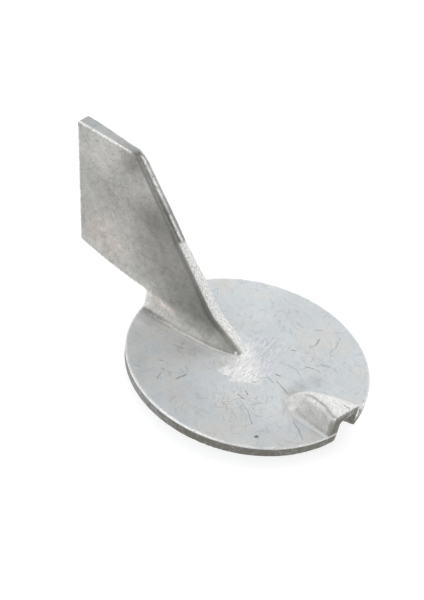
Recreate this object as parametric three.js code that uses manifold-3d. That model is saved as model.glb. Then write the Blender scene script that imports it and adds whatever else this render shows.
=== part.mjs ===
// Trim-tab anode of an outboard gearcase: a round plate with a swept fin, a hooded rim channel
// and a threaded boss.
// Millimetres. Origin: the centre of the plate's mounting face. +X runs forward to the hood,
// +Z points to the fin side, -Y is the near side.
import * as THREE from "three";
import { mergeVertices } from "three/addons/utils/BufferGeometryUtils.js";
import Module from "manifold-3d";

// Plate
const PLATE_RADIUS = 47.5;
const PLATE_THICKNESS = 4.2;
const PLATE_EDGE = 0.5; // chamfer of the plate's two rim edges
const ROUND_SEGMENTS = 96;

// Boss on the mounting side and the steel insert that is cast into it
const BOSS_HEIGHT = 8;
const BOSS_RADIUS = 12;
const BOSS_DRAFT = 0.6; // the boss is this much wider in radius where it leaves the plate
const BOSS_FILLET = 1;
const INSERT_TOP = 2.2; // height of the insert's closed end inside the plate
const INSERT_ACROSS_FLATS = 15;
const INSERT_WAIST = 1.2; // depth of the groove that keys the insert into the casting
const INSERT_FLANGE = 3;
const THREAD_MINOR_RADIUS = 4.65; // 7/16-14 UNC
const THREAD_DEPTH = 9;
const THREAD_MOUTH_CHAMFER = 0.8;
const CAST_GAP = 0.3;

// Fin: a blade in the XZ plane, swept back over the plate's rear
const FIN_TOP_REAR = new THREE.Vector2(-85, 71.6);
const FIN_TOP_FRONT = new THREE.Vector2(-57.4, 68.2);
const FIN_TAIL_REAR = new THREE.Vector2(-79.4, 21.6);
const FIN_HEEL = new THREE.Vector2(-46.6, 13.2);
const FIN_TOE = new THREE.Vector2(-16.2, 16); // where the straight leading edge runs into the toe fillet
const FIN_TOE_REACH = -1.3; // x of the toe fillet's end on the plate
const FIN_TOE_CURVE = 1.1; // exponent of the toe fillet
const FIN_HALF_THICK_TOP = 3.05;
const FIN_HALF_THICK_ROOT = 3.5;
const LEADING_HALF_TOP = 0.9;
const LEADING_HALF_ROOT = 2;
const NEAR_BEVEL = 1.4; // chord length of the leading edge's bevel on the near side
const FAR_BEVEL_TOP = 5; // and on the far side, at the top and at the root
const FAR_BEVEL_ROOT = 10;
const FIN_EDGE = 0.8; // chamfer of the trailing edge
const ROOT_FLARE = 2.4; // how far the fin's foot spreads on each side
const ROOT_FLARE_HEIGHT = 6;

// Hood over the rim channel: stations along X,
// each [x, left base y, crest y, crest z, shoulder y, right base y]
const HOOD_STATIONS = [
  [22.6, -13.2, -12, 4.4, -10.4, -8.4],
  [25, -16.2, -12.6, 8, -9.6, -5.4],
  [28, -17.4, -13.2, 11.2, -9.2, -3.8],
  [33, -18.5, -14.6, 12.4, -8, -2],
  [38, -19.2, -15.8, 12.8, -7, -0.4],
  [49, -20.4, -18.2, 13.3, -5.4, 1.8],
];
const HOOD_EDGE = 0.8; // chamfer of the hood's two upper edges
const HOOD_LEFT_WAIST = 0.3; // how far each flank has come in at half height, as a share
const HOOD_RIGHT_WAIST = 0.45;
const RIM_TRIM_HEIGHT = 20;
const CHANNEL_START = 28; // x of the channel's blind end
const CHANNEL_END = 49;
const CHANNEL_START_BOX = { left: -14, right: -7.2, roof: 6.8 };
const CHANNEL_END_BOX = { left: -15.9, right: -3.4, roof: 9.9 };
const CHANNEL_CORNER = 0.2; // size of the roof's corners, as a share of its height

const wasm = await Module();
wasm.setup();

// A closed three.js geometry as a solid.
function solidFrom(geometry) {
  const bare = geometry.clone();
  bare.deleteAttribute("normal");
  bare.deleteAttribute("uv");
  const merged = mergeVertices(bare, 1e-4);
  const mesh = new wasm.Mesh({
    numProp: 3,
    vertProperties: merged.attributes.position.array,
    triVerts: new Uint32Array(merged.index.array),
  });
  return new wasm.Manifold(mesh);
}

function geometryFrom(solid) {
  const mesh = solid.getMesh();
  const geometry = new THREE.BufferGeometry();
  geometry.setAttribute("position", new THREE.BufferAttribute(new Float32Array(mesh.vertProperties), 3));
  geometry.setIndex(new THREE.BufferAttribute(new Uint32Array(mesh.triVerts), 1));
  geometry.computeVertexNormals();
  return geometry;
}

// A body of revolution about Z from [radius, z] points that start and end on the axis and rise.
function turned(profile, segments) {
  const points = profile.map(([radius, z]) => new THREE.Vector2(radius, z));
  const lathe = new THREE.LatheGeometry(points, segments);
  lathe.rotateX(Math.PI / 2);
  return solidFrom(lathe);
}

// A closed skin through rings of equally many points.
// Each ring runs counterclockwise as seen from the last ring.
function loft(rings) {
  const size = rings[0].length;
  const positions = rings.flat().flatMap((point) => point.toArray());
  const indices = [];
  for (let ring = 0; ring + 1 < rings.length; ring++) {
    for (let i = 0; i < size; i++) {
      const low = ring * size + i;
      const lowNext = ring * size + ((i + 1) % size);
      indices.push(low, lowNext, low + size);
      indices.push(lowNext, lowNext + size, low + size);
    }
  }
  const last = (rings.length - 1) * size;
  for (let i = 1; i + 1 < size; i++) {
    indices.push(0, i + 1, i);
    indices.push(last, last + i, last + i + 1);
  }
  const geometry = new THREE.BufferGeometry();
  geometry.setAttribute("position", new THREE.Float32BufferAttribute(positions, 3));
  geometry.setIndex(indices);
  return solidFrom(geometry);
}

// How far z is from low to high, between 0 and 1.
function share(z, low, high) {
  return THREE.MathUtils.clamp((z - low) / (high - low), 0, 1);
}

// x of the straight line through two [x, z] points, at height z.
function lineX(from, to, z) {
  return from.x + ((to.x - from.x) * (z - from.y)) / (to.y - from.y);
}

function plate() {
  return turned(
    [
      [0, 0],
      [PLATE_RADIUS - PLATE_EDGE, 0],
      [PLATE_RADIUS, PLATE_EDGE],
      [PLATE_RADIUS, PLATE_THICKNESS - PLATE_EDGE],
      [PLATE_RADIUS - PLATE_EDGE, PLATE_THICKNESS],
      [0, PLATE_THICKNESS],
    ],
    ROUND_SEGMENTS,
  );
}

function boss() {
  return turned(
    [
      [0, -BOSS_HEIGHT],
      [BOSS_RADIUS - PLATE_EDGE, -BOSS_HEIGHT],
      [BOSS_RADIUS, -BOSS_HEIGHT + PLATE_EDGE],
      [BOSS_RADIUS + BOSS_DRAFT, -BOSS_FILLET],
      [BOSS_RADIUS + BOSS_DRAFT + BOSS_FILLET, 0],
      [BOSS_RADIUS + BOSS_DRAFT + BOSS_FILLET, PLATE_THICKNESS / 2],
      [0, PLATE_THICKNESS / 2],
    ],
    ROUND_SEGMENTS / 2,
  );
}

// Rear end of the fin at height z: the heel, then the overhanging lower edge, then the trailing edge.
function finRear(z) {
  if (z <= FIN_HEEL.y) return FIN_HEEL.x;
  if (z <= FIN_TAIL_REAR.y) {
    const along = share(z, FIN_HEEL.y, FIN_TAIL_REAR.y);
    return THREE.MathUtils.lerp(FIN_HEEL.x, FIN_TAIL_REAR.x, along);
  }
  return lineX(FIN_TAIL_REAR, FIN_TOP_REAR, z);
}

// Front end of the fin at height z: the toe fillet, then the straight leading edge.
function finFront(z) {
  if (z >= FIN_TOE.y) return lineX(FIN_TOE, FIN_TOP_FRONT, z);
  const along = 1 - share(z, PLATE_THICKNESS, FIN_TOE.y);
  return THREE.MathUtils.lerp(FIN_TOE.x, FIN_TOE_REACH, along ** FIN_TOE_CURVE);
}

function finSection(z) {
  const up = share(z, PLATE_THICKNESS, FIN_TOP_REAR.y);
  const flareUp = share(z, PLATE_THICKNESS, PLATE_THICKNESS + ROOT_FLARE_HEIGHT);
  const flare = ROOT_FLARE * (1 - flareUp) ** 2;
  const half = THREE.MathUtils.lerp(FIN_HALF_THICK_ROOT, FIN_HALF_THICK_TOP, up) + flare;
  const lead = THREE.MathUtils.lerp(LEADING_HALF_ROOT, LEADING_HALF_TOP, up);
  const farBevel = THREE.MathUtils.lerp(FAR_BEVEL_ROOT, FAR_BEVEL_TOP, up);
  const rear = finRear(z);
  const front = finFront(z);
  const outline = [
    [rear, half - FIN_EDGE],
    [rear, -half + FIN_EDGE],
    [rear + FIN_EDGE, -half],
    [front - NEAR_BEVEL - flare, -half],
    [front, -lead],
    [front, lead],
    [front - farBevel, half],
    [rear + FIN_EDGE, half],
  ];
  return outline.map(([x, y]) => new THREE.Vector3(x, y, z));
}

// Half space above the fin's sloping top edge, as a box.
function aboveFinTop() {
  const size = 60;
  const box = new THREE.BoxGeometry(size, size, size);
  const slope = Math.atan2(FIN_TOP_REAR.y - FIN_TOP_FRONT.y, FIN_TOP_FRONT.x - FIN_TOP_REAR.x);
  box.translate(0, 0, size / 2);
  box.rotateY(slope);
  box.translate(FIN_TOP_REAR.x, 0, FIN_TOP_REAR.y);
  return solidFrom(box);
}

function fin() {
  const overlap = 1;
  const heights = [
    PLATE_THICKNESS - overlap,
    PLATE_THICKNESS,
    PLATE_THICKNESS + ROOT_FLARE_HEIGHT / 4,
    PLATE_THICKNESS + ROOT_FLARE_HEIGHT / 2,
    PLATE_THICKNESS + ROOT_FLARE_HEIGHT,
    FIN_HEEL.y,
    FIN_TOE.y,
    FIN_TAIL_REAR.y,
    FIN_TOP_REAR.y + overlap,
  ];
  return loft(heights.map(finSection)).subtract(aboveFinTop());
}

// One cross-section of the hood, from the left base over the crest and the shoulder to the right base.
function hoodSection([x, leftBase, crestY, crestZ, shoulderY, rightBase]) {
  const floor = PLATE_THICKNESS - 1;
  const waistZ = THREE.MathUtils.lerp(PLATE_THICKNESS, crestZ, 0.5);
  const outline = [
    [leftBase, floor],
    [rightBase, floor],
    [rightBase, PLATE_THICKNESS],
    [THREE.MathUtils.lerp(rightBase, shoulderY, HOOD_RIGHT_WAIST), waistZ],
    [shoulderY, crestZ - HOOD_EDGE],
    [shoulderY - HOOD_EDGE, crestZ],
    [crestY + HOOD_EDGE, crestZ],
    [crestY, crestZ - HOOD_EDGE],
    [THREE.MathUtils.lerp(leftBase, crestY, HOOD_LEFT_WAIST), waistZ],
    [leftBase, PLATE_THICKNESS],
  ];
  return outline.map(([y, z]) => new THREE.Vector3(x, y, Math.max(z, floor)));
}

// The hood ends flush with the plate's rim.
function hood() {
  const rimTrim = turned(
    [
      [0, 0],
      [PLATE_RADIUS, 0],
      [PLATE_RADIUS, RIM_TRIM_HEIGHT],
      [0, RIM_TRIM_HEIGHT],
    ],
    ROUND_SEGMENTS,
  );
  return loft(HOOD_STATIONS.map(hoodSection)).intersect(rimTrim);
}

// The channel under the hood, open at the rim and at the mounting face.
function channelSection(x, { left, right, roof }) {
  const corner = CHANNEL_CORNER * roof;
  const below = -1;
  const outline = [
    [left, below],
    [right, below],
    [right, roof - 2 * corner],
    [right - corner, roof - corner / 2],
    [right - 2 * corner, roof],
    [left + corner, roof],
    [left, roof - corner],
  ];
  return outline.map(([y, z]) => new THREE.Vector3(x, y, z));
}

function channel() {
  const start = channelSection(CHANNEL_START, CHANNEL_START_BOX);
  const end = channelSection(CHANNEL_END, CHANNEL_END_BOX);
  return loft([start, end]);
}

// The insert's outside: two hexagonal flanges with a groove between them, grown by the gap for its pocket.
function insertBody(grow) {
  const corner = INSERT_ACROSS_FLATS / Math.sqrt(3) + grow;
  const waist = corner - INSERT_WAIST;
  const bottom = -BOSS_HEIGHT;
  return turned(
    [
      [0, bottom - grow],
      [corner, bottom - grow],
      [corner, bottom + INSERT_FLANGE + grow],
      [waist, bottom + INSERT_FLANGE + INSERT_WAIST + grow],
      [waist, INSERT_TOP - INSERT_FLANGE - INSERT_WAIST - grow],
      [corner, INSERT_TOP - INSERT_FLANGE - grow],
      [corner, INSERT_TOP + grow],
      [0, INSERT_TOP + grow],
    ],
    6,
  );
}

function threadHole() {
  const mouth = -BOSS_HEIGHT;
  const tip = mouth + THREAD_DEPTH;
  const outside = mouth - 1;
  const mouthRadius = THREAD_MINOR_RADIUS + THREAD_MOUTH_CHAMFER;
  return turned(
    [
      [0, outside],
      [mouthRadius, outside],
      [mouthRadius, mouth],
      [THREAD_MINOR_RADIUS, mouth + THREAD_MOUTH_CHAMFER],
      [THREAD_MINOR_RADIUS, tip - 1],
      [0, tip],
    ],
    ROUND_SEGMENTS / 3,
  );
}

const castMetal = new THREE.MeshStandardMaterial({ color: 0xb9bdbf, roughness: 0.45, metalness: 0.9 });
const steel = new THREE.MeshStandardMaterial({ color: 0x9a9c9e, roughness: 0.35, metalness: 1 });

function part(name, solid, material) {
  const mesh = new THREE.Mesh(geometryFrom(solid), material);
  mesh.name = name;
  return mesh;
}

const casting = plate().add(boss()).add(fin()).add(hood()).subtract(channel()).subtract(insertBody(CAST_GAP));
const insert = insertBody(0).subtract(threadHole());

const anode = new THREE.Group();
anode.add(part("anode_casting", casting, castMetal));
anode.add(part("threaded_insert", insert, steel));

export default anode;
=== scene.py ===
"""Looks of a trim-tab anode: a cast plate with a swept fin, a hooded rim channel and a threaded steel insert.

The casting and the insert are described as signed-distance fields in millimetres, in the CAD frame: origin at
the centre of the mounting face, +X forward to the hood, +Z up along the fin. Each field becomes one closed mesh.
"""

import bpy
import numpy as np
from mathutils import Euler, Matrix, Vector


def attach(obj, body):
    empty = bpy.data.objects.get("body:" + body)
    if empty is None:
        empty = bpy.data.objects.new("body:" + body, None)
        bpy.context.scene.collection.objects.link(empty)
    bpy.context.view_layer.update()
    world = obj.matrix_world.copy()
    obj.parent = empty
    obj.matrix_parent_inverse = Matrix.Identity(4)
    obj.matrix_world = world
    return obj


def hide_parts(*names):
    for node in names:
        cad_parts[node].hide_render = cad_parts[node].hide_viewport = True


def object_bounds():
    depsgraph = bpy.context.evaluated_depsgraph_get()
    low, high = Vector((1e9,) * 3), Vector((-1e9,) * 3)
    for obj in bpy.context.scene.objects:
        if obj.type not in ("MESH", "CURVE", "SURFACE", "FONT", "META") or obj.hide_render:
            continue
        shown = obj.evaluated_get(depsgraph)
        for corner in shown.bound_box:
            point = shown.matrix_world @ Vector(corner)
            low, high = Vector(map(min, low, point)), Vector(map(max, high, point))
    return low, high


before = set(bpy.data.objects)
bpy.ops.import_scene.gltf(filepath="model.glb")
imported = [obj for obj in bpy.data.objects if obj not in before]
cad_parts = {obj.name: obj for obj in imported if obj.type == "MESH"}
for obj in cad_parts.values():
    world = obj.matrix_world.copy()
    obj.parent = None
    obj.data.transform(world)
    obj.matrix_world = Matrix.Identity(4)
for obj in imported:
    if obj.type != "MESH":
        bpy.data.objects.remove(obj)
cad_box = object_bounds()

MM = 0.001

# ---------------------------------------------------------------- camera
CAMERA_PLACE_MM = (87.8, -246.2, 231.4)
CAMERA_TURN_DEG = (51.31, -8.93, 30.67)
CAMERA_LENS_MM = 54.0
SENSOR_WIDTH_MM = 36.0
CLIP_START = 0.01

camera_data = bpy.data.cameras.new("camera")
camera_data.lens = CAMERA_LENS_MM
camera_data.sensor_width = SENSOR_WIDTH_MM
camera_data.clip_start = CLIP_START
camera = bpy.data.objects.new("camera", camera_data)
camera.location = [MM * value for value in CAMERA_PLACE_MM]
camera.rotation_euler = Euler(np.radians(CAMERA_TURN_DEG).tolist(), "XYZ")
bpy.context.scene.collection.objects.link(camera)
bpy.context.scene.camera = camera

# ---------------------------------------------------------------- dimensions, mm
PLATE_RADIUS = 47.5
PLATE_THICKNESS = 4.2
PLATE_EDGE = 0.4
BURIED = 2.0  # where the fin and the hood end inside the plate

BOSS_HEIGHT = 8.0
BOSS_RADIUS = 12.0
BOSS_DRAFT = 0.6
BOSS_FILLET = 1.0
BOSS_BURIED = 1.0
BOSS_BURIED_EDGE = 0.01

INSERT_APOTHEM = 7.5
INSERT_TOP = 2.2
INSERT_GAP = 0.08
INSERT_EDGE = 0.25
THREAD_MINOR = 4.65
THREAD_PITCH = 25.4 / 14
THREAD_HEIGHT = 0.9
THREAD_END = 1.0
THREAD_CHAMFER = 0.8
THREAD_SHARPNESS = 2.5
THREAD_RUN_OUT = 1.5  # plain bore between the thread's last turn and the hole's end
DRILL_POINT_FLAT = 1.0
DRILL_POINT_SLOPE = 0.3
HOLE_FIELD_SCALE = 0.8  # keeps the thread's field from growing faster than the distance

FIN_TOP_REAR = (-85.0, 71.6)
FIN_TOP_FRONT = (-57.4, 68.2)
FIN_TAIL_REAR = (-79.4, 21.6)
FIN_HEEL = (-46.6, 13.0)
FIN_TOE = (-16.2, 16.0)
FIN_TOE_REACH = -1.3
FIN_TOE_CURL = 0.25
FIN_LOWER_SAG = 0.8
FIN_LOWER_COSINE = 0.97
FIN_CORNER = 1.0
FIN_EDGE = 0.45
FIN_FRONT_CORNER = 2.2
HEEL_NOTCH = 1.2

# The fin's section by height, on its near side (-Y) and its far side: half width of the leading face, how far
# the slope behind it runs and the half thickness that it reaches. The near side is flat up to a short chamfer.
FIN_LEVELS = (4.2, 10.0, 27.0, 39.6, 40.6, 43.0, 68.0)
NEAR_LEAD = (0.7, 1.7, 2.05, 1.25, 0.95, 0.9, 0.9)
FAR_LEAD = (1.6, 2.3, 2.0, 1.1, 1.15, 1.3, 1.1)
NEAR_WIDTH = (1.5, 1.5, 1.3, 1.1, 1.0, 0.9, 0.6)
NEAR_HALF = (3.4, 3.3, 3.2, 3.1, 3.05, 3.05, 3.05)
FAR_WIDTH = (8.0, 8.0, 8.0, 7.0, 6.0, 6.0, 3.5)
FAR_HALF = (3.2, 3.1, 2.9, 2.7, 2.7, 2.6, 1.7)
FULL_HALF = (3.4, 3.3, 3.2, 3.1, 3.1, 3.1, 3.1)
FAR_TAPER = 15.0
LEDGE_Z = 40.6
GROOVE_DEPTH = 0.12
GROOVE_HALF_WIDTH = 0.5

# The root's flare on the blade's sides, by x.
FLARE_X = (-47.0, -44.0, -37.0, -31.0, -22.0, -16.0, -11.0, -7.5, -4.5, -1.0)
FLARE = (0.8, 1.8, 2.8, 3.1, 3.4, 3.5, 2.9, 2.0, 0.9, 0.0)
FLARE_HEIGHT = 8.0
FLARE_POWER = 2.4
FLARE_LEAD = 2.8  # the flare dies out over this distance behind the leading face
ROOT_FILLET = 0.4

# The hood over the rim channel, by x: left base y, left flank y at the roof, roof z, right base y.
HOOD_X = (22.0, 25.0, 28.0, 30.0, 33.0, 38.0, 40.0, 43.0, 48.0)
HOOD_LEFT = (-16.0, -16.9, -17.5, -17.9, -18.5, -19.2, -19.3, -19.4, -19.5)
HOOD_LEFT_TOP = (-12.0, -12.2, -12.8, -13.4, -14.3, -16.0, -17.6, -19.0, -19.9)
HOOD_ROOF = (10.4, 10.9, 11.4, 11.8, 12.3, 12.8, 12.9, 13.1, 13.4)
HOOD_RIGHT = (-8.0, -5.4, -3.8, -3.0, -2.0, -0.4, 0.0, 0.6, 1.4)
HOOD_RIGHT_SLOPE = -0.85
HOOD_NOSE_X = 22.2
HOOD_NOSE_SLOPE = 0.8
HOOD_NOSE_MIDDLE = -11.5
HOOD_NOSE_ROUND = 0.055
HOOD_NOSE_STEEPNESS = 1.2
HOOD_LEFT_EDGE = 1.6
HOOD_RIGHT_EDGE = 3.2
HOOD_NOSE_EDGE = 2.6
HOOD_FILLET = 1.2
MOUTH_EDGE = 0.35

CHANNEL_X = (28.0, 47.5)
CHANNEL_LEFT = (-14.0, -15.8)
CHANNEL_RIGHT = (-7.2, -3.6)
CHANNEL_ROOF = (6.8, 9.8)
CHANNEL_LEFT_EDGE = 1.4
CHANNEL_RIGHT_EDGE = 2.6
CHANNEL_END_EDGE = 1.5

# Meshing: the grids' corners and steps, how far the slope is sampled, where relief counts, and how firmly a
# vertex keeps to its cell.
CASTING_GRID = ((-86.5, -49.0, -9.0), (49.0, 49.0, 73.0))
CASTING_STEP = 0.5
INSERT_GRID = ((-9.5, -9.5, -9.0), (9.5, 9.5, 3.2))
INSERT_STEP = 0.25
SLOPE_REACH = 0.04
RELIEF_BAND = 0.5
BISECTIONS = 9
CENTRE_PULL = 0.06
CELL_REACH = 0.7


# ---------------------------------------------------------------- field arithmetic
def round_join(a, b, radius):
    """Union of two fields with a concave fillet."""
    corner = np.hypot(np.maximum(radius - a, 0), np.maximum(radius - b, 0))
    return np.maximum(radius, np.minimum(a, b)) - corner


def round_meet(a, b, radius):
    """Intersection of two fields with a rounded edge."""
    corner = np.hypot(np.maximum(radius + a, 0), np.maximum(radius + b, 0))
    return np.minimum(-radius, np.maximum(a, b)) + corner


def beside(px, pz, start, end):
    """Signed distance to the line from start to end, positive on its left."""
    dx, dz = end[0] - start[0], end[1] - start[1]
    return (dx * (pz - start[1]) - dz * (px - start[0])) / np.hypot(dx, dz)


def ease(value, low, high):
    t = np.clip((value - low) / (high - low), 0, 1)
    return t * t * (3 - 2 * t)


class Noise:
    """Smooth lattice noise from -1 to 1."""

    SIDE = 32

    def __init__(self, seed):
        self.table = np.random.default_rng(seed).uniform(-1, 1, (self.SIDE,) * 3)

    def __call__(self, x, y, z, size):
        total = 0
        cells, weights = [], []
        for value in (x, y, z):
            scaled = np.asarray(value) / size
            cell = np.floor(scaled).astype(int)
            cells.append((cell % self.SIDE, (cell + 1) % self.SIDE))
            weights.append(ease(scaled - cell, 0, 1))
        for corner in np.ndindex(2, 2, 2):
            share = 1
            for side, weight in zip(corner, weights):
                share = share * (weight if side else 1 - weight)
            total = total + share * self.table[tuple(cells[axis][side] for axis, side in enumerate(corner))]
        return total


def bump_at(value, centre, width):
    """A smooth hill of height 1."""
    return np.exp(-(((value - centre) / width) ** 2))


WAVES = Noise(4)
WAVE_SIZE = 9.0
WAVE_RELIEF = 0.05
GRAIN = Noise(9)
GRAIN_SIZE = 2.5
GRAIN_RELIEF = 0.02


# ---------------------------------------------------------------- the casting's field
def plate_field(x, y, z):
    faces = np.abs(z - PLATE_THICKNESS / 2) - PLATE_THICKNESS / 2
    return round_meet(np.hypot(x, y) - PLATE_RADIUS, faces, PLATE_EDGE)


def fin_front(z):
    """x of the leading edge at height z."""
    slope = (FIN_TOP_FRONT[0] - FIN_TOE[0]) / (FIN_TOP_FRONT[1] - FIN_TOE[1])
    straight = FIN_TOE[0] + slope * (z - FIN_TOE[1])
    down = np.clip((FIN_TOE[1] - z) / (FIN_TOE[1] - PLATE_THICKNESS), 0, 1)
    swept = (1 - FIN_TOE_CURL) * down + FIN_TOE_CURL * ease(down, 0, 1)
    foot = FIN_TOE[0] + (FIN_TOE_REACH - FIN_TOE[0]) * swept
    return np.where(z > FIN_TOE[1], straight, foot)


def fin_lower(x):
    """Height of the overhanging lower edge."""
    along = (x - FIN_TAIL_REAR[0]) / (FIN_HEEL[0] - FIN_TAIL_REAR[0])
    chord = FIN_TAIL_REAR[1] + (FIN_HEEL[1] - FIN_TAIL_REAR[1]) * along
    return chord - 4 * FIN_LOWER_SAG * along * (1 - along)


def fin_outline(x, z, behind):
    """Signed distance to the fin's outline, seen from the side."""
    top = beside(x, z, FIN_TOP_REAR, FIN_TOP_FRONT)
    rear = beside(x, z, FIN_TAIL_REAR, FIN_TOP_REAR)
    below_lower = (fin_lower(x) - z) * FIN_LOWER_COSINE
    lower = round_join(below_lower, FIN_HEEL[0] - x, HEEL_NOTCH)
    outline = round_meet(round_meet(top, rear, FIN_CORNER), lower, FIN_CORNER)
    outline = round_meet(outline, -behind, FIN_FRONT_CORNER)
    return np.maximum(outline, BURIED - z)


def fin_field(x, y, z):
    front_length = np.hypot(FIN_TOP_FRONT[0] - FIN_TOE[0], FIN_TOP_FRONT[1] - FIN_TOE[1])
    behind = (fin_front(z) - x) * (FIN_TOP_FRONT[1] - FIN_TOE[1]) / front_length
    tables = (NEAR_LEAD, NEAR_WIDTH, NEAR_HALF, FAR_LEAD, FAR_WIDTH, FAR_HALF, FULL_HALF)
    near_lead, near_width, near_half, far_lead, far_width, far_half, full_half = (
        np.interp(z, FIN_LEVELS, table) for table in tables
    )
    near = near_lead + (near_half - near_lead) * np.clip(behind / near_width, 0, 1)
    far = far_lead + (far_half - far_lead) * np.clip(behind / far_width, 0, 1)
    far = far + (full_half - far_half) * ease(behind, far_width, far_width + FAR_TAPER)
    spread = np.clip(1 - (z - PLATE_THICKNESS) / FLARE_HEIGHT, 0, 1) ** FLARE_POWER
    flare = np.interp(x, FLARE_X, FLARE) * spread * np.clip(behind / FLARE_LEAD, 0, 1)
    groove = bump_at(behind, near_width + GROOVE_HALF_WIDTH, GROOVE_HALF_WIDTH)
    groove = groove * ease(z, LEDGE_Z, LEDGE_Z + 2)
    half = np.where(y < 0, near - GROOVE_DEPTH * groove, far) + flare
    return round_meet(np.abs(y) - half, fin_outline(x, z, behind), FIN_EDGE)


def hood_field(x, y, z):
    rise = z - PLATE_THICKNESS
    roof = np.interp(x, HOOD_X, HOOD_ROOF)
    left_base = np.interp(x, HOOD_X, HOOD_LEFT)
    left_slope = (np.interp(x, HOOD_X, HOOD_LEFT_TOP) - left_base) / (roof - PLATE_THICKNESS)
    left = (left_base + left_slope * rise - y) / np.hypot(1, left_slope)
    right = (y - np.interp(x, HOOD_X, HOOD_RIGHT) - HOOD_RIGHT_SLOPE * rise) / np.hypot(1, HOOD_RIGHT_SLOPE)
    nose_x = HOOD_NOSE_X + HOOD_NOSE_ROUND * (y - HOOD_NOSE_MIDDLE) ** 2 + HOOD_NOSE_SLOPE * rise
    nose = (nose_x - x) / np.hypot(HOOD_NOSE_STEEPNESS, HOOD_NOSE_SLOPE)
    hood = round_meet(left, z - roof, HOOD_LEFT_EDGE)
    hood = round_meet(hood, right, HOOD_RIGHT_EDGE)
    return np.maximum(round_meet(hood, nose, HOOD_NOSE_EDGE), BURIED - z)


def channel_field(x, y, z):
    left = np.interp(x, CHANNEL_X, CHANNEL_LEFT) - y
    right = y - np.interp(x, CHANNEL_X, CHANNEL_RIGHT)
    roof = z - np.interp(x, CHANNEL_X, CHANNEL_ROOF)
    channel = round_meet(round_meet(left, roof, CHANNEL_LEFT_EDGE), right, CHANNEL_RIGHT_EDGE)
    return round_meet(channel, CHANNEL_X[0] - x, CHANNEL_END_EDGE)


def boss_field(x, y, z):
    draft = BOSS_DRAFT / BOSS_HEIGHT
    side = np.hypot(x, y) - BOSS_RADIUS - draft * (z + BOSS_HEIGHT)
    return round_meet(round_meet(side, -BOSS_HEIGHT - z, PLATE_EDGE), z - BOSS_BURIED, BOSS_BURIED_EDGE)


def hexagon(x, y):
    """Distance past the insert's flats. Its corners point along Y."""
    return np.maximum(np.abs(x), np.abs(x) / 2 + np.abs(y) * np.sqrt(0.75)) - INSERT_APOTHEM


def casting_base(x, y, z):
    body = round_join(plate_field(x, y, z), boss_field(x, y, z), BOSS_FILLET)
    body = round_join(body, hood_field(x, y, z), HOOD_FILLET)
    body = round_meet(body, np.hypot(x, y) - PLATE_RADIUS, MOUTH_EDGE)
    body = round_meet(body, -channel_field(x, y, z), MOUTH_EDGE)
    body = round_join(body, fin_field(x, y, z), ROOT_FILLET)
    pocket = np.maximum(hexagon(x, y) - INSERT_GAP, z - INSERT_TOP - INSERT_GAP)
    return np.maximum(body, -pocket)


def casting_relief(x, y, z):
    """How far the cast skin lies below the ideal surface."""
    return WAVE_RELIEF * WAVES(x, y, z, WAVE_SIZE) + GRAIN_RELIEF * GRAIN(x, y, z, GRAIN_SIZE)


# ---------------------------------------------------------------- the insert's field
def insert_field(x, y, z):
    radius = np.hypot(x, y)
    ends = np.abs(z - (INSERT_TOP - BOSS_HEIGHT) / 2) - (INSERT_TOP + BOSS_HEIGHT) / 2
    body = round_meet(hexagon(x, y), ends, INSERT_EDGE)
    turn = (z / THREAD_PITCH - np.arctan2(y, x) / (2 * np.pi)) % 1
    flank = np.clip(THREAD_SHARPNESS * (0.5 - np.abs(turn - 0.5)), 0, 1)
    bore = THREAD_MINOR + THREAD_HEIGHT * flank
    mouth = THREAD_MINOR + THREAD_HEIGHT + THREAD_CHAMFER - (z + BOSS_HEIGHT)
    hole = radius - np.maximum(np.where(z < THREAD_END - THREAD_RUN_OUT, bore, THREAD_MINOR), mouth)
    end = z - THREAD_END + np.maximum(radius - DRILL_POINT_FLAT, 0) * DRILL_POINT_SLOPE
    return np.maximum(body, -np.maximum(hole, end) * HOLE_FIELD_SCALE)


def nothing(x, y, z):
    return 0.0 * x


# ---------------------------------------------------------------- fields to meshes
def field_at(points, base, relief):
    x, y, z = points.T
    return base(x, y, z) + relief(x, y, z)


def slope_at(points, base, relief):
    slopes = []
    for axis in range(3):
        shift = np.zeros(3)
        shift[axis] = SLOPE_REACH
        slopes.append(field_at(points + shift, base, relief) - field_at(points - shift, base, relief))
    slopes = np.stack(slopes, 1)
    return slopes / np.maximum(np.linalg.norm(slopes, axis=1, keepdims=True), 1e-9)


def crossings(values, corners, step, axis, base, relief):
    """Where the surface cuts one axis's grid edges: edge cells, points and whether the low end is inside."""
    low = [slice(None)] * 3
    high = [slice(None)] * 3
    low[axis], high[axis] = slice(None, -1), slice(1, None)
    inside = values < 0
    cells = np.argwhere(inside[tuple(low)] != inside[tuple(high)])
    starts = corners + step * cells
    unit = np.zeros(3)
    unit[axis] = step
    near, far = np.zeros(len(cells)), np.ones(len(cells))
    starts_inside = inside[tuple(cells.T)]
    for _ in range(BISECTIONS):
        middle = (near + far) / 2
        same = (field_at(starts + middle[:, None] * unit, base, relief) < 0) == starts_inside
        near = np.where(same, middle, near)
        far = np.where(same, far, middle)
    return cells, starts + ((near + far) / 2)[:, None] * unit, starts_inside


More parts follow.
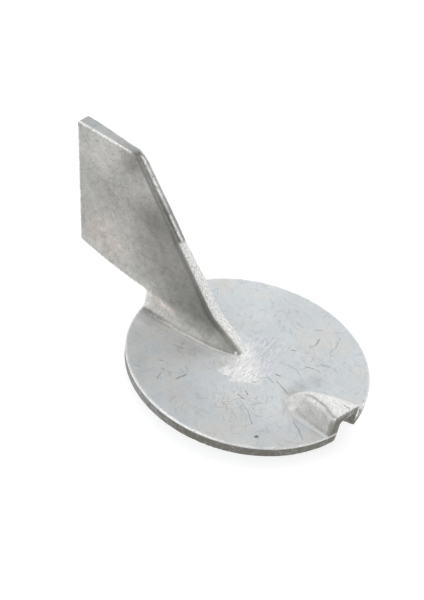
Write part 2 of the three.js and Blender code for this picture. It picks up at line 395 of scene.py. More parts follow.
def contour(base, relief, low, high, step):
    """Dual contouring: one vertex in each cell that the surface crosses, where the tangent planes meet."""
    low = np.array(low, float)
    grids = [np.arange(low[axis], high[axis] + step, step) for axis in range(3)]
    x, y, z = np.meshgrid(*grids, indexing="ij", sparse=True)
    values = base(x, y, z)
    near = np.argwhere(np.abs(values) < RELIEF_BAND)
    values[tuple(near.T)] += relief(*(low + step * near).T)
    shape = np.array(values.shape)
    strides = np.array([shape[1] * shape[2], shape[2], 1])
    keys, points, quads = [], [], []
    for axis in range(3):
        cells, cuts, starts_inside = crossings(values, low, step, axis, base, relief)
        side_a, side_b = strides[(axis + 1) % 3], strides[(axis + 2) % 3]
        key = cells @ strides
        around = np.stack([key, key - side_a, key - side_a - side_b, key - side_b], 1)
        quads.append(np.where(starts_inside[:, None], around, around[:, ::-1]))
        keys.append(around.ravel())
        points.append(np.repeat(cuts, 4, axis=0))
    keys, points, quads = np.concatenate(keys), np.concatenate(points), np.concatenate(quads)
    normals = np.repeat(slope_at(points[::4], base, relief), 4, axis=0)
    cell_keys, owner = np.unique(keys, return_inverse=True)
    owner = owner.ravel()

    def gathered(weights):
        return np.bincount(owner, weights, len(cell_keys))

    count = gathered(None)
    centre = np.stack([gathered(points[:, axis]) for axis in range(3)], 1) / count[:, None]
    offset = np.sum(normals * (points - centre[owner]), axis=1)
    matrix = np.empty((len(cell_keys), 3, 3))
    for i in range(3):
        for j in range(3):
            matrix[:, i, j] = gathered(normals[:, i] * normals[:, j])
    matrix += CENTRE_PULL * np.eye(3)
    target = np.stack([gathered(normals[:, axis] * offset) for axis in range(3)], 1)
    shift = np.linalg.solve(matrix, target[..., None])[..., 0]
    vertices = centre + np.clip(shift, -CELL_REACH * step, CELL_REACH * step)
    faces = np.searchsorted(cell_keys, quads)
    return vertices, faces


def mesh_object(name, base, relief, low, high, step):
    vertices, faces = contour(base, relief, low, high, step)
    mesh = bpy.data.meshes.new(name)
    mesh.from_pydata((MM * vertices).tolist(), [], faces.tolist())
    mesh.shade_smooth()
    mesh.normals_split_custom_set_from_vertices(slope_at(vertices, base, relief).tolist())
    piece = bpy.data.objects.new(name, mesh)
    bpy.context.scene.collection.objects.link(piece)
    print(name, len(vertices), "vertices", 2 * len(faces), "triangles")
    return piece, vertices


casting, casting_points = mesh_object(
    "anode_casting_skin", casting_base, casting_relief, *CASTING_GRID, CASTING_STEP
)
insert, _ = mesh_object("threaded_insert_steel", insert_field, nothing, *INSERT_GRID, INSERT_STEP)

# ---------------------------------------------------------------- wear, dirt, painted light and painted shade masks, one value per vertex
# The belt-sanded patch across the plate before the fin's toe, and the line where it stops beside the toe.
BRUSHED_PATCH = [
    (-4.6, -15.6),
    (2.2, -17.6),
    (7.6, -14.0),
    (11.4, -9.0),
    (11.8, 0.0),
    (11.3, 6.0),
    (9.5, 12.5),
    (5.6, 16.2),
    (-1.5, 13.0),
    (-4.0, 8.0),
]
PATCH_TOE_LINE = ((-4.6, -15.6), (-0.8, -1.9))

# Tangled hairlines on the plate: x, y, radius and density.
SCRIBBLES = [
    (7.2, -27.5, 8.0, 1.0),
    (15.0, -20.0, 6.0, 0.7),
    (22.0, 13.0, 10.0, 0.6),
    (-17.0, -13.5, 5.0, 0.5),
    (-3.0, -41.0, 5.0, 0.4),
]

# How much of its brightness the metal loses under each mask. A negative share makes it paler. The shares marked
# below are painted shade and painted light.
SHADE = {
    # painted shade over the fin's sides
    "face": 0.23,
    "dark_side": 0.27,
    "low_blade": 0.2,
    # painted shade at the fin's top front corner and on the upward-facing chamfer above the ledge
    "top_corner_shade": 0.3,
    "chamfer_painted_shade": 0.3,
    # painted shade beside the chamfer
    "edge_shade": 0.25,
    # painted shade on the fin's top face
    "fin_top": 0.14,
    # painted highlight high on the fin's rear, and painted light along its lower edge
    "upper_rear_highlight": -0.16,
    "lower_rim_light": -0.14,
    "lower_painted_light": -0.1,
    # painted light on the root's flare; painted highlight along the ridge above it, whose pink tint is the
    # casting's own
    "foot_band_light": -0.36,
    "foot_ridge": -0.18,
    "flared": -0.02,
    # painted shadow of the fin on the plate beside its root
    "foot_shade": 0.38,
    "warm_foot": -0.14,
    # painted light on the plate's left and far side, painted shade on its front
    "left_painted_light": -0.12,
    "far_painted_light": -0.08,
    "front_painted_shade": 0.1,
    # painted shade on the plate round the hood's nose
    "nose_shade": 0.2,
    # with its shares of fresh metal and bright metal, painted light on the hood's flank
    "clean_flank": 0.04,
    # painted shade in the fillet at the hood's foot
    "flank_foot": 0.3,
}
# Dark oxide and dirt, with painted shade in the channel and its mouth and on the rim's front right.
GRIME_AND_SHADE = {
    "rim": 1.0,
    "channel": 1.1,
    "mouth": 1.1,
    "mottled_edge": 0.8,
    "groove": 0.85,
    "top_dirt": 0.6,
    "crest": 0.65,
    "mouth_stain": 0.6,
}
# Ground metal; the cap's and the flank's shares are also painted light.
LINISHED_AND_LIT = {"edge": 1.0, "heel": 1.0, "roof": 0.9, "cap": 0.4}
LINISHED_AND_LIT_BASE = {"clean_flank": 0.25, "flank_foot": 0.05}
# Bright worn metal, and painted highlights along the rim, the fin's top edge and crease, on the toe's tip and on
# the hood's cap.
WEAR_AND_HIGHLIGHT = {
    "edge_foot": 0.18,
    "foot_line": 0.05,
    "rim_highlight_line": 1.0,
    "top_highlight_line": 0.75,
    "lead_highlight_line": 1.2,
    "toe_tip_highlight": 1.2,
    "cap": 1.6,
    "clean_flank": 0.1,
}
MOST_GRIME_AND_SHADE = 1.15
CURVATURE_REACH = 0.45
FRONT_COSINE = 0.785  # turns a level distance behind the leading edge into one square to it


def polygon_distance(x, y, corners):
    """Signed distance to a counterclockwise convex outline, negative inside."""
    pairs = zip(corners, corners[1:] + corners[:1])
    return np.max([-beside(x, y, start, end) for start, end in pairs], axis=0)


def curvature(points):
    """Mean curvature of the casting, 1/mm: positive on outer edges, negative in corners."""
    total = -6 * casting_base(*points.T)
    for axis in range(3):
        shift = np.zeros(3)
        shift[axis] = CURVATURE_REACH
        total = total + casting_base(*(points + shift).T) + casting_base(*(points - shift).T)
    return total / CURVATURE_REACH**2 / 2


def hill(x, y, centre_x, centre_y, radius):
    return np.exp(-((x - centre_x) ** 2 + (y - centre_y) ** 2) / radius**2)


def diagonal_hill(x, z, centre_x, centre_z, falling, rising):
    """A smooth hill with different radii along the falling and the rising diagonal."""
    along = (x - centre_x - z + centre_z) / np.sqrt(2)
    across = (x - centre_x + z - centre_z) / np.sqrt(2)
    return np.exp(-((along / falling) ** 2) - (across / rising) ** 2)


def weighted(masks, shares):
    return sum(share * masks[name] for name, share in shares.items())


class Skin:
    """What the masks ask about the casting's vertices."""

    def __init__(self, points):
        x, y, z = points.T
        self.x, self.y, self.z = x, y, z
        self.wander = WAVES(x, y, z, 4.0)
        self.scatter = GRAIN(x, y, z, 1.1)
        self.radius = np.hypot(x, y)
        self.behind = (fin_front(z) - x) * FRONT_COSINE
        self.near_fin = (x < 1.5) & (np.abs(y) < 9)
        self.face = self.near_fin & (z > 4.6)
        self.on_top = (z > PLATE_THICKNESS - 0.6) & (z < PLATE_THICKNESS + 1.5)
        self.on_hood = (x > 22) * (np.abs(y + 10) < 12) * ease(z, 4.3, 4.9)
        self.roof_gap = np.interp(x, HOOD_X, HOOD_ROOF) - z
        self.fin_top_gap = beside(x, z, FIN_TOP_REAR, FIN_TOP_FRONT)


def blade_masks(skin):
    """Tones, dirt, painted shade and painted light of the fin above its foot."""
    x, y, z, behind, face, near_fin = skin.x, skin.y, skin.z, skin.behind, skin.face, skin.near_fin
    # the flare's skirt, a little paler as painted light
    flared = near_fin * ease(np.abs(y), 3.4, 4.6) * ease(z, 4.24, 4.4)
    reach = ease(behind, 0.6, 1.2) * ease(-behind, -4.5 + 2.5 * skin.wander, -1.2)
    chamfer = np.interp(z, FIN_LEVELS, NEAR_WIDTH)
    top_edge = near_fin * bump_at(skin.fin_top_gap, -0.25, 0.28) * (y < -2.2)
    above_ledge = ease(z, LEDGE_Z - 0.5, LEDGE_Z + 0.5)
    return {
        "face": face,
        "flared": flared,
        # the fin's top face: the plate's bluer colour and painted shade
        "fin_top": near_fin * ease(skin.fin_top_gap, -0.5, -0.15),
        "dark_side": face * ease(-behind, -28.0, -7.0) * ease(-z, -62.0, -36.0),
        "low_blade": face * hill(x, z, -47.0, 46.0, 7.0),
        # painted highlight high on the fin's rear
        "upper_rear_highlight": face * hill(x, z, -75.0, 65.5, 8.5),
        # painted light along the fin's lower edge
        "lower_painted_light": face * diagonal_hill(x, z, -58.66, 21.88, 6.6, 5.5),
        "lower_rim_light": face * ease(fin_lower(x) - z, -7.0, -2.0) * (x < -44),
        # painted shade at the fin's top front corner
        "top_corner_shade": face * hill(x, z, -60.5, 64.0, 4.5) * (y < 0),
        "top_dirt": top_edge * ease(x, -70.0, -64.0),
        # painted highlight along the fin's top edge
        "top_highlight_line": top_edge * ease(-x, 66.0, 72.0),
        # painted shade on the chamfer above the ledge
        "chamfer_painted_shade": face * ease(-y, 0.95, 1.25) * ease(-behind, -0.75, -0.45) * above_ledge,
        "groove": face * bump_at(behind, chamfer + 0.45, 0.6) * ease(z, LEDGE_Z - 2, LEDGE_Z) * (y < 0),
        "mottled_edge": face * (1 - flared) * reach * ease(-z, -46.0, -38.0),
    }


def leading_edge_masks(skin):
    """The ground face along the fin's front, its two sides and its tip, with painted shade beside it and painted
    highlights on its crease and tip.
    """
    x, y, z, behind, near_fin = skin.x, skin.y, skin.z, skin.behind, skin.near_fin
    low_face, high_face = ease(-behind, -0.6, -0.1), ease(-behind, -1.1, -0.5)
    face_only = low_face + (high_face - low_face) * ease(z, 9.0, 18.0)
    edge = near_fin * face_only * ease(z, 4.4, 5.5) * ease(-z, -LEDGE_Z, 1.0 - LEDGE_Z)
    beside_edge = skin.face * (y < -1.4) * bump_at(behind, 1.6, 1.3)
    crease = skin.face * bump_at(y, -0.9, 0.32) * ease(-behind, -0.9, -0.3)
    return {
        "edge": edge,
        "edge_foot": edge * ease(-z, -26.0, -14.0),
        # painted shade beside the chamfer
        "edge_shade": beside_edge * ease(z, 9.0, 12.0) * ease(-z, -30.0, -18.0),
        # painted highlights on the chamfer's crease and on the toe's tip
        "lead_highlight_line": crease * ease(z, LEDGE_Z - 1, LEDGE_Z + 1),
        "toe_tip_highlight": near_fin * hill(x, y, -2.1, -0.7, 1.6),
    }


def foot_masks(skin):
    """The fin's root, its heel and the plate beside them, with painted light on the root's flare and a painted
    shadow on the plate.
    """
    x, y, z, near_fin, on_top = skin.x, skin.y, skin.z, skin.near_fin, skin.on_top
    ridge_height = z + 0.2 * (x + 44.3)
    ridge_run = ease(x, -46.5, -45.0) * ease(-x, 29.0, 35.0)
    line_run = ease(x, -42.0, -34.0) * ease(-x, 10.0, 16.0)
    band = near_fin * ease(-z + 1.5 * skin.wander, -13.0, -6.5)
    return {
        "heel": near_fin * ease(-x, 45.2, 46.0) * ease(z, 4.4, 6.0) * ease(-z, -14.0, -12.0),
        # painted light on the root's flare
        "foot_band_light": band * (0.3 + 0.7 * ease(z, 4.6, 6.0)),
        # painted highlight along the ridge above the flare; it also carries the pink tint
        "foot_ridge": skin.face * (y < 0) * bump_at(ridge_height, 11.5, 1.5) * ridge_run,
        "foot_line": near_fin * (y < 0) * bump_at(z, 4.6, 0.4) * line_run,
        # painted shadow of the fin on the plate
        "foot_shade": on_top * ease(-np.abs(y), -13.0, -6.0) * ease(-x, 24.0, 40.0) * (y < 0),
        "warm_foot": on_top * hill(x, y, -7.0, -8.5, 6.0) * (y < 0),
    }


def plate_masks(skin):
    """The plate's top and rim: painted light and painted shade on the top, the rim's dark stain with painted
    shade towards the front right, and a painted highlight along the rim's edge.
    """
    x, y, z, radius, on_top = skin.x, skin.y, skin.z, skin.radius, skin.on_top
    # the rim's dark stain, with painted shade added towards the front right; a painted highlight line along the
    # rim's top edge, strongest on the left
    rim_dirt_and_shade = 0.8 + 0.35 * ease(x, -20.0, 5.0)
    rim_highlight = 0.12 + 0.5 * ease(-x, -20.0, 5.0)
    return {
        # painted light on the plate's left and far side, painted shade on its front
        "left_painted_light": on_top * ease(-x, 2.0, 25.0) * ease(-y, 4.0, 12.0),
        "far_painted_light": on_top * ease(-x, 0.0, 10.0) * ease(y, 10.0, 25.0),
        "front_painted_shade": on_top * ease(-y, 20.0, 35.0),
        "rim": ease(radius, 47.0, 47.3) * ease(-z, -3.9, -3.5) * (x > -47.6) * rim_dirt_and_shade,
        "rim_highlight_line": ease(radius, 46.7, 47.1) * (z > 3.4) * (z < 4.6) * (x > -46.5) * rim_highlight,
    }


def hood_masks(skin):
    """The hood, the plate round its nose, and the channel's mouth in the rim, with painted shade round the nose,
    in the channel and at the hood's foot, and painted light on the flank and cap.
    """
    x, y, z, radius, roof_gap, on_hood = skin.x, skin.y, skin.z, skin.radius, skin.roof_gap, skin.on_hood
    roof = on_hood * ease(-roof_gap, -2.6, -0.2) * ease(-y, 4.0, 9.0) * ease(x, 24, 27)
    nose_shade = 1.2 * hill(x, y, 22.4, -7.8, 2.8) + 1.3 * hill(x, y, 24.2, -2.4, 2.8)
    nose_shade = nose_shade + 0.9 * hill(x, y, 27.4, 3.6, 3.2)
    nose_level = (z > PLATE_THICKNESS - 0.6) * (z < PLATE_THICKNESS + 2.5)
    flank = on_hood * ease(roof_gap, 0.2, 1.4) * (y < -9) * (1 - 0.8 * hill(x, y, 25.0, -13.8, 3.2))
    stain_reach = radius + 0.8 * skin.wander + 0.8 * skin.scatter
    mouth_stain = on_hood * ease(stain_reach, 45.4, 47.0) * (y < -12) * ease(roof_gap, 0.5, 1.5)
    foot_run = (x > 22) * (x < 46) * (y < -9) * ease(-radius, -46.5, -45.5)
    crest_y = np.interp(x, HOOD_X, HOOD_LEFT_TOP) + 0.8 + 0.5 * skin.wander
    crest_run = ease(-roof_gap, -1.6, -0.6) * ease(x, 27, 29)
    return {
        "roof": roof,
        # the hood's nose cap: ground metal with a painted highlight
        "cap": on_hood * hill(x, y, 25.5, -14.0, 2.8),
        # painted shade on the plate round the hood's nose
        "nose_shade": np.clip(nose_shade, 0, 1.4) * nose_level * (1 - roof),
        "flank": flank,
        # painted light on the flank outside the mouth's stain
        "clean_flank": flank * (1 - mouth_stain),
        # painted shade in the fillet at the hood's foot
        "flank_foot": foot_run * bump_at(z, PLATE_THICKNESS + 0.9, 0.9) * ease(z, 4.25, 4.7),
        "crest": on_hood * bump_at(y, crest_y, 0.55) * crest_run,
        "mouth_stain": mouth_stain,
        # painted shade in the channel's mouth and inside the channel
        "mouth": ease(radius, 47.15, 47.4) * ease(z, 4.2, 4.6) * (x > 30),
        "channel": ease(-channel_field(x, y, z), -0.5, 0.1) * (x > 26),
    }


def sanded_patch(skin):
    x, y = skin.x, skin.y
    past_toe = np.where(y < -1.0, beside(x, y, *PATCH_TOE_LINE), -9.0)
    outside = np.maximum(polygon_distance(x, y, BRUSHED_PATCH), past_toe)
    outside = outside + 1.3 * skin.wander + 1.1 * skin.scatter
    return np.where(skin.on_top, ease(-outside, -0.4, 0.7), 0) * ease(-skin.z, -4.6, -4.3)


def edge_wear_and_highlight(skin, bend, masks):
    """Bright worn metal on outer edges, less beside the leading face, round the mouth and on the front rim, plus
    the painted highlight lines and spots.
    """
    x, y, z = skin.x, skin.y, skin.z
    quiet_edge = skin.near_fin & (y < -1.3) & (skin.behind < 2.4) & (z > 5.5)
    wear = np.clip(bend * 1.9 - 0.75, 0, 1) * np.where(quiet_edge, 0.1, 1) * (z > 2.2)
    wear = wear * (1 - 0.8 * masks["mouth"] * ease(-y, 11.5, 12.5))
    wear = wear * (1 - 0.65 * (z < 4.6) * ease(x, -10.0, 10.0))
    return wear + weighted(masks, WEAR_AND_HIGHLIGHT)


def wear_dirt_and_painted_light_masks(points):
    skin = Skin(points)
    x, y, z = skin.x, skin.y, skin.z
    bend = curvature(points)
    masks = {}
    for part in (blade_masks, leading_edge_masks, foot_masks, plate_masks, hood_masks):
        masks.update(part(skin))
    patch = sanded_patch(skin)
    blade = np.clip(skin.near_fin * ease(z, 4.24, 4.42) + ease(-x, 46, 50), 0, 1)
    blade = blade * (1 - 0.8 * masks["fin_top"]) + 0.7 * masks["warm_foot"] + 0.7 * masks["flank"]
    ground = np.clip(weighted(masks, LINISHED_AND_LIT), 0, 1)
    rose = hill(x, z, -70.5, 30.0, 6.0) + 0.7 * hill(x, z, -63.0, 25.0, 5.0) + 0.8 * masks["foot_ridge"]
    scribble = sum(density * hill(x, y, *place) for *place, density in SCRIBBLES)
    return {
        "blade": np.clip(blade, 0, 1),
        "patch": patch,
        "patch_bright": patch * ease(-0.8 * (x + y), -7.0, 3.0),
        "linished_and_lit": np.clip(ground + weighted(masks, LINISHED_AND_LIT_BASE), 0, 1),
        "grime_and_shade": np.clip(weighted(masks, GRIME_AND_SHADE), 0, MOST_GRIME_AND_SHADE),
        "shade": np.clip(weighted(masks, SHADE), -1, 1),
        "edge_wear_and_highlight": np.clip(edge_wear_and_highlight(skin, bend, masks), 0, 1),
        "rose": skin.face * np.clip(rose, 0, 1),
        # painted shade in concave corners
        "crevice_shade": np.clip(-bend * 1.2 - 0.1, 0, 1),
        "scribble": np.clip(scribble, 0, 1) * (z > 3.8),
    }


for name, values in wear_dirt_and_painted_light_masks(casting_points).items():
    layer = casting.data.attributes.new(name, "FLOAT", "POINT")
    layer.data.foreach_set("value", values.astype(np.float32))


# ---------------------------------------------------------------- node arithmetic
class Wire:
    """A shader value that ordinary arithmetic can use."""

    def __init__(self, tree, socket):
        self.tree = tree
        self.socket = socket

    def math(self, operation, *others):
        node = self.tree.nodes.new("ShaderNodeMath")
        node.operation = operation
        for port, value in zip(node.inputs, (self, *others)):
            feed(self.tree, port, value)
        return Wire(self.tree, node.outputs[0])

    def __add__(self, other):
        return self.math("ADD", other)

    def __sub__(self, other):
        return self.math("SUBTRACT", other)

    def __mul__(self, other):
        return self.math("MULTIPLY", other)

    def __rsub__(self, other):
        return self * -1.0 + other

    __radd__ = __add__
    __rmul__ = __mul__

    def size(self):
        return self.math("ABSOLUTE")

    def over(self, other):
        return self.math("MAXIMUM", other)

    def clamp(self, low, high):
        return self.math("MINIMUM", high).math("MAXIMUM", low)

    def step(self, low, high):
        """0 below low and 1 above high, eased between."""
        node = self.tree.nodes.new("ShaderNodeMapRange")
        node.interpolation_type = "SMOOTHSTEP"
        feed(self.tree, node.inputs["Value"], self)
        feed(self.tree, node.inputs["From Min"], low)
        feed(self.tree, node.inputs["From Max"], high)
        return Wire(self.tree, node.outputs["Result"])

    def fall(self, low, high):
        """1 below low and 0 above high."""
        return 1.0 - self.step(low, high)


def feed(tree, port, value):
    if isinstance(value, Wire):
        tree.links.new(value.socket, port)
    else:
        port.default_value = value


class Paint:
    """Builds one procedural metal. Lengths are in millimetres."""

    def __init__(self, name):
        self.material = bpy.data.materials.new(name)
        self.material.use_nodes = True
        self.tree = self.material.node_tree
        self.shader = self.tree.nodes["Principled BSDF"]
        place = self.node("ShaderNodeTexCoord").outputs["Object"]
        scaled = self.node("ShaderNodeVectorMath", operation="SCALE")
        self.tree.links.new(place, scaled.inputs[0])
        scaled.inputs["Scale"].default_value = 1 / MM
        self.place = Wire(self.tree, scaled.outputs["Vector"])
        parts = self.node("ShaderNodeSeparateXYZ")
        feed(self.tree, parts.inputs[0], self.place)
        self.x, self.y, self.z = (Wire(self.tree, port) for port in parts.outputs)

    def node(self, kind, **settings):
        node = self.tree.nodes.new(kind)
        for key, value in settings.items():
            setattr(node, key, value)
        return node

    def vector(self, x, y, z=0.0):
        node = self.node("ShaderNodeCombineXYZ")
        for port, value in zip(node.inputs, (x, y, z)):
            feed(self.tree, port, value)
        return Wire(self.tree, node.outputs[0])

    def mask(self, name):
        return Wire(self.tree, self.node("ShaderNodeAttribute", attribute_name=name).outputs["Fac"])

    def noise(self, size, place=None, detail=3.0, roughness=0.55):
        """Noise around zero with features of about that size."""
        node = self.node("ShaderNodeTexNoise")
        feed(self.tree, node.inputs["Vector"], place or self.place)
        node.inputs["Scale"].default_value = 1 / size
        node.inputs["Detail"].default_value = detail
        node.inputs["Roughness"].default_value = roughness
        return Wire(self.tree, node.outputs[0]) - 0.5

    def strokes(self, u, v, cell, length, width, bend, chance, seed):
        """Short curved hairlines, at most one in each random cell."""
        place = self.vector(u + seed * 3.7, v + seed * 9.1)
        cells = self.node("ShaderNodeTexVoronoi", voronoi_dimensions="2D")
        feed(self.tree, cells.inputs["Vector"], place)
        cells.inputs["Scale"].default_value = 1 / cell
        local = self.node("ShaderNodeVectorMath", operation="SUBTRACT")
        feed(self.tree, local.inputs[0], place)
        self.tree.links.new(cells.outputs["Position"], local.inputs[1])
        dice = self.node("ShaderNodeSeparateColor")
        self.tree.links.new(cells.outputs["Color"], dice.inputs[0])
        first, second, third = (Wire(self.tree, port) for port in dice.outputs)
        turned = self.node("ShaderNodeVectorRotate", rotation_type="Z_AXIS")
        self.tree.links.new(local.outputs["Vector"], turned.inputs["Vector"])
        feed(self.tree, turned.inputs["Angle"], first * 6.28)
        parts = self.node("ShaderNodeSeparateXYZ")
        self.tree.links.new(turned.outputs[0], parts.inputs[0])
        along, across = (Wire(self.tree, port) for port in parts.outputs[:2])
        curve = across - (second - 0.5) * bend * along * along
        line = curve.size().fall(width * 0.4, width)
        reach = third * length * 0.6 + length * 0.4
        ends = along.size().fall(reach * 0.6, reach)
        return line * ends * (first + third * 3.1).math("FRACT").fall(chance - 0.01, chance + 0.01)

    def segment(self, x, y, start, end, width):
        """1 within width of the straight line from start to end, seen from above."""
        run = np.subtract(end, start)
        length = float(np.hypot(*run))
        unit_x, unit_y = (float(value) for value in run / length)
        from_x, from_y = x - start[0], y - start[1]
        along = from_x * unit_x + from_y * unit_y
        across = from_y * unit_x - from_x * unit_y
        past = along - along.math("MAXIMUM", 0.0).math("MINIMUM", length)
        return (past * past + across * across).math("SQRT").fall(width * 0.5, width * 1.3)

    def mix(self, share, low, high):
        node = self.node("ShaderNodeMix", data_type="RGBA")
        feed(self.tree, node.inputs["Factor"], share)
        for port, value in ((node.inputs[6], low), (node.inputs[7], high)):
            feed(self.tree, port, value if isinstance(value, Wire) else (*value, 1))
        return Wire(self.tree, node.outputs[2])

    def shade(self, colour, factor):
        """Colour times a grey factor."""
        node = self.node("ShaderNodeVectorMath", operation="SCALE")
        feed(self.tree, node.inputs[0], colour)
        feed(self.tree, node.inputs["Scale"], factor)
        return Wire(self.tree, node.outputs["Vector"])

    def finish(self, colour, roughness, metallic, height):
        """height is the bump relief in millimetres."""
        feed(self.tree, self.shader.inputs["Base Color"], colour)
        feed(self.tree, self.shader.inputs["Roughness"], roughness)
        self.shader.inputs["Metallic"].default_value = metallic
        bump = self.node("ShaderNodeBump")
        bump.inputs["Distance"].default_value = MM
        feed(self.tree, bump.inputs["Height"], height)
        self.tree.links.new(bump.outputs["Normal"], self.shader.inputs["Normal"])
        return self.material


PLATE_BLUE = (0.57, 0.60, 0.62)
PLATE_PALE = (0.60, 0.605, 0.595)
BLADE_WARM = (0.50, 0.495, 0.472)
BLADE_ROSE = (0.545, 0.52, 0.495)
BLADE_BLUSH = (0.66, 0.60, 0.56)
# fresh ground metal, also used as painted light on the hood's flank and cap
FRESH_AND_LIT_METAL = (0.80, 0.80, 0.785)
# bright worn metal, also used for painted highlights
WORN_AND_HIGHLIT_METAL = (0.93, 0.93, 0.92)
SANDED_BLUE = (0.575, 0.59, 0.62)
# dark oxide, also used as painted shade in the channel, its mouth and on the rim
DARK_OXIDE_AND_SHADE = (0.145, 0.139, 0.121)

# Marks on the plate's top, listed one by one: start, end, half width and strength.
PLATE_MARKS = [
    ((22.4, -36.1), (22.9, -35.6), 0.55, 0.9),
    ((46.0, 5.7), (46.1, 5.9), 0.35, 0.6),
    ((4.5, -9.0), (9.6, -8.8), 0.16, 0.7),
    ((9.6, -8.8), (11.7, -6.4), 0.15, 0.7),
    ((11.7, -6.4), (15.0, -7.8), 0.16, 0.7),
    ((13.3, -3.2), (15.1, -2.9), 0.34, 0.75),
    ((16.0, -6.3), (21.9, -9.5), 0.17, 0.7),
    ((-25.6, -14.6), (-21.5, -13.9), 0.18, 0.7),
    ((-14.5, -29.2), (-13.2, -25.6), 0.45, 0.45),
    ((-24.9, -25.0), (-24.0, -24.8), 0.3, 0.5),
    ((-21.5, -28.4), (-20.9, -28.4), 0.3, 0.5),
    ((29.5, -20.9), (33.0, -23.0), 0.16, 0.6),
    ((33.0, -23.0), (36.5, -26.6), 0.14, 0.6),
    ((9.3, -23.8), (14.0, -26.5), 0.13, 0.5),
    ((14.0, -26.5), (18.5, -31.5), 0.13, 0.5),
    ((12.0, 13.4), (13.0, 13.9), 0.32, 0.6),
    ((16.8, 19.6), (18.4, 22.6), 0.2, 0.45),
    ((18.4, 22.6), (17.8, 26.9), 0.34, 0.5),
    ((24.6, 22.3), (25.2, 26.0), 0.16, 0.45),
    ((25.2, 26.0), (24.8, 30.4), 0.26, 0.4),
    ((20.7, 8.3), (23.5, 9.4), 0.3, 0.5),
    ((23.5, 9.4), (26.6, 9.2), 0.22, 0.45),
    ((25.6, 13.4), (27.8, 14.6), 0.7, 0.3),
    ((14.2, 30.6), (16.4, 32.4), 0.4, 0.35),
    ((6.3, 29.8), (9.4, 28.7), 0.26, 0.4),
    ((14.7, 4.7), (18.8, 4.3), 0.24, 0.4),
    ((18.8, 4.3), (21.0, 2.6), 0.2, 0.4),
    ((-20.0, -34.0), (-20.7, -30.2), 0.3, 0.35),
    ((-15.4, -21.5), (-13.2, -23.4), 0.2, 0.35),
    ((7.2, -21.6), (10.2, -22.4), 0.3, 0.5),
    ((8.8, -18.4), (10.4, -19.6), 0.3, 0.5),
    ((-1.6, -16.4), (1.2, -15.5), 0.25, 0.5),
    ((8.0, -12.5), (9.2, -12.0), 0.4, 0.6),
]

ROOF_CRACK = ((43.0, -10.4), (45.8, -11.3))
CRACK_HALF_WIDTH = 0.24

# How strongly each noise changes the plate's tone, and how much more the blade's.
TONE_SHARES = ((0.18, 0.36), (0.22, 0.65), (0.1, 0.25), (0.15, 0.2), (0.2, 0.45))
HAIR_DARKNESS = 0.36
NICK_DARKNESS = 0.22
SPECK_DARKNESS = 0.3
SMUDGE_DARKNESS = 0.14
MARK_DARKNESS = 0.75
CREVICE_DARKNESS = 0.25
CRACK_DARKNESS = 0.85
PALE_HAIR = 0.07
PALE_HAIR_ON_BLADE = 0.22

CAST_METALLIC = 0.52
CAST_ROUGHNESS = 0.44


def cast_hairlines(paint, u, v, clouds, scribble):
    """Fine cracks in the cast skin: denser where the clouds are and in the scribbled places."""
    spread = (clouds * 3.2 + 0.8 + scribble * 0.6).clamp(0.12, 1.0)
    hairs = paint.strokes(u, v, 6.5, 3.6, 0.12, 0.3, 0.55, 1) * spread
    hairs = hairs.over(paint.strokes(u, v, 4.0, 2.0, 0.11, 0.5, 0.5, 2) * spread * 0.7)
    hairs = hairs.over(paint.strokes(u, v, 11.0, 8.0, 0.11, 0.09, 0.5, 3) * 0.6)
    hairs = hairs.over(paint.strokes(u, v, 2.6, 2.2, 0.13, 0.6, 0.8, 6) * scribble)
    hairs = hairs.over(paint.strokes(u, v, 4.2, 3.6, 0.17, 0.3, 0.8, 9) * scribble)
    return hairs.over(paint.strokes(u, v, 8.0, 3.4, 0.24, 0.14, 0.25, 11) * 0.5)


def blade_nicks(paint, u, v, mottle, blade):
    """Short dark nicks on the fin's sides."""
    nicks = paint.strokes(u, v, 3.0, 1.5, 0.13, 0.4, 0.5, 12) * (mottle * 4.0 + 0.6)
    nicks = nicks.over(paint.strokes(u, v, 6.5, 1.7, 0.22, 0.2, 0.45, 13))
    return nicks.clamp(0.0, 1.0) * blade


def plate_marks(paint, x, y):
    """The listed marks, on the plate's top only."""
    top_only = paint.z.step(3.6, 3.9) * paint.z.fall(4.6, 5.2)
    marks = 0.0
    for start, end, width, strength in PLATE_MARKS:
        marks = paint.segment(x, y, start, end, width).math("MULTIPLY", strength).over(marks)
    return marks * top_only


def base_colour(paint, tints, blade, rose, speckle):
    """Bluish to warm plate, and the warmer blade with its rosy places."""
    colour = paint.mix(tints.step(-0.1, 0.16), PLATE_BLUE, PLATE_PALE)
    blade_colour = paint.mix(tints.step(0.05, 0.25) * 0.6, BLADE_WARM, BLADE_ROSE)
    blade_colour = paint.mix(rose * (speckle * 1.5 + 0.8), blade_colour, BLADE_BLUSH)
    return paint.mix(blade, colour, blade_colour)


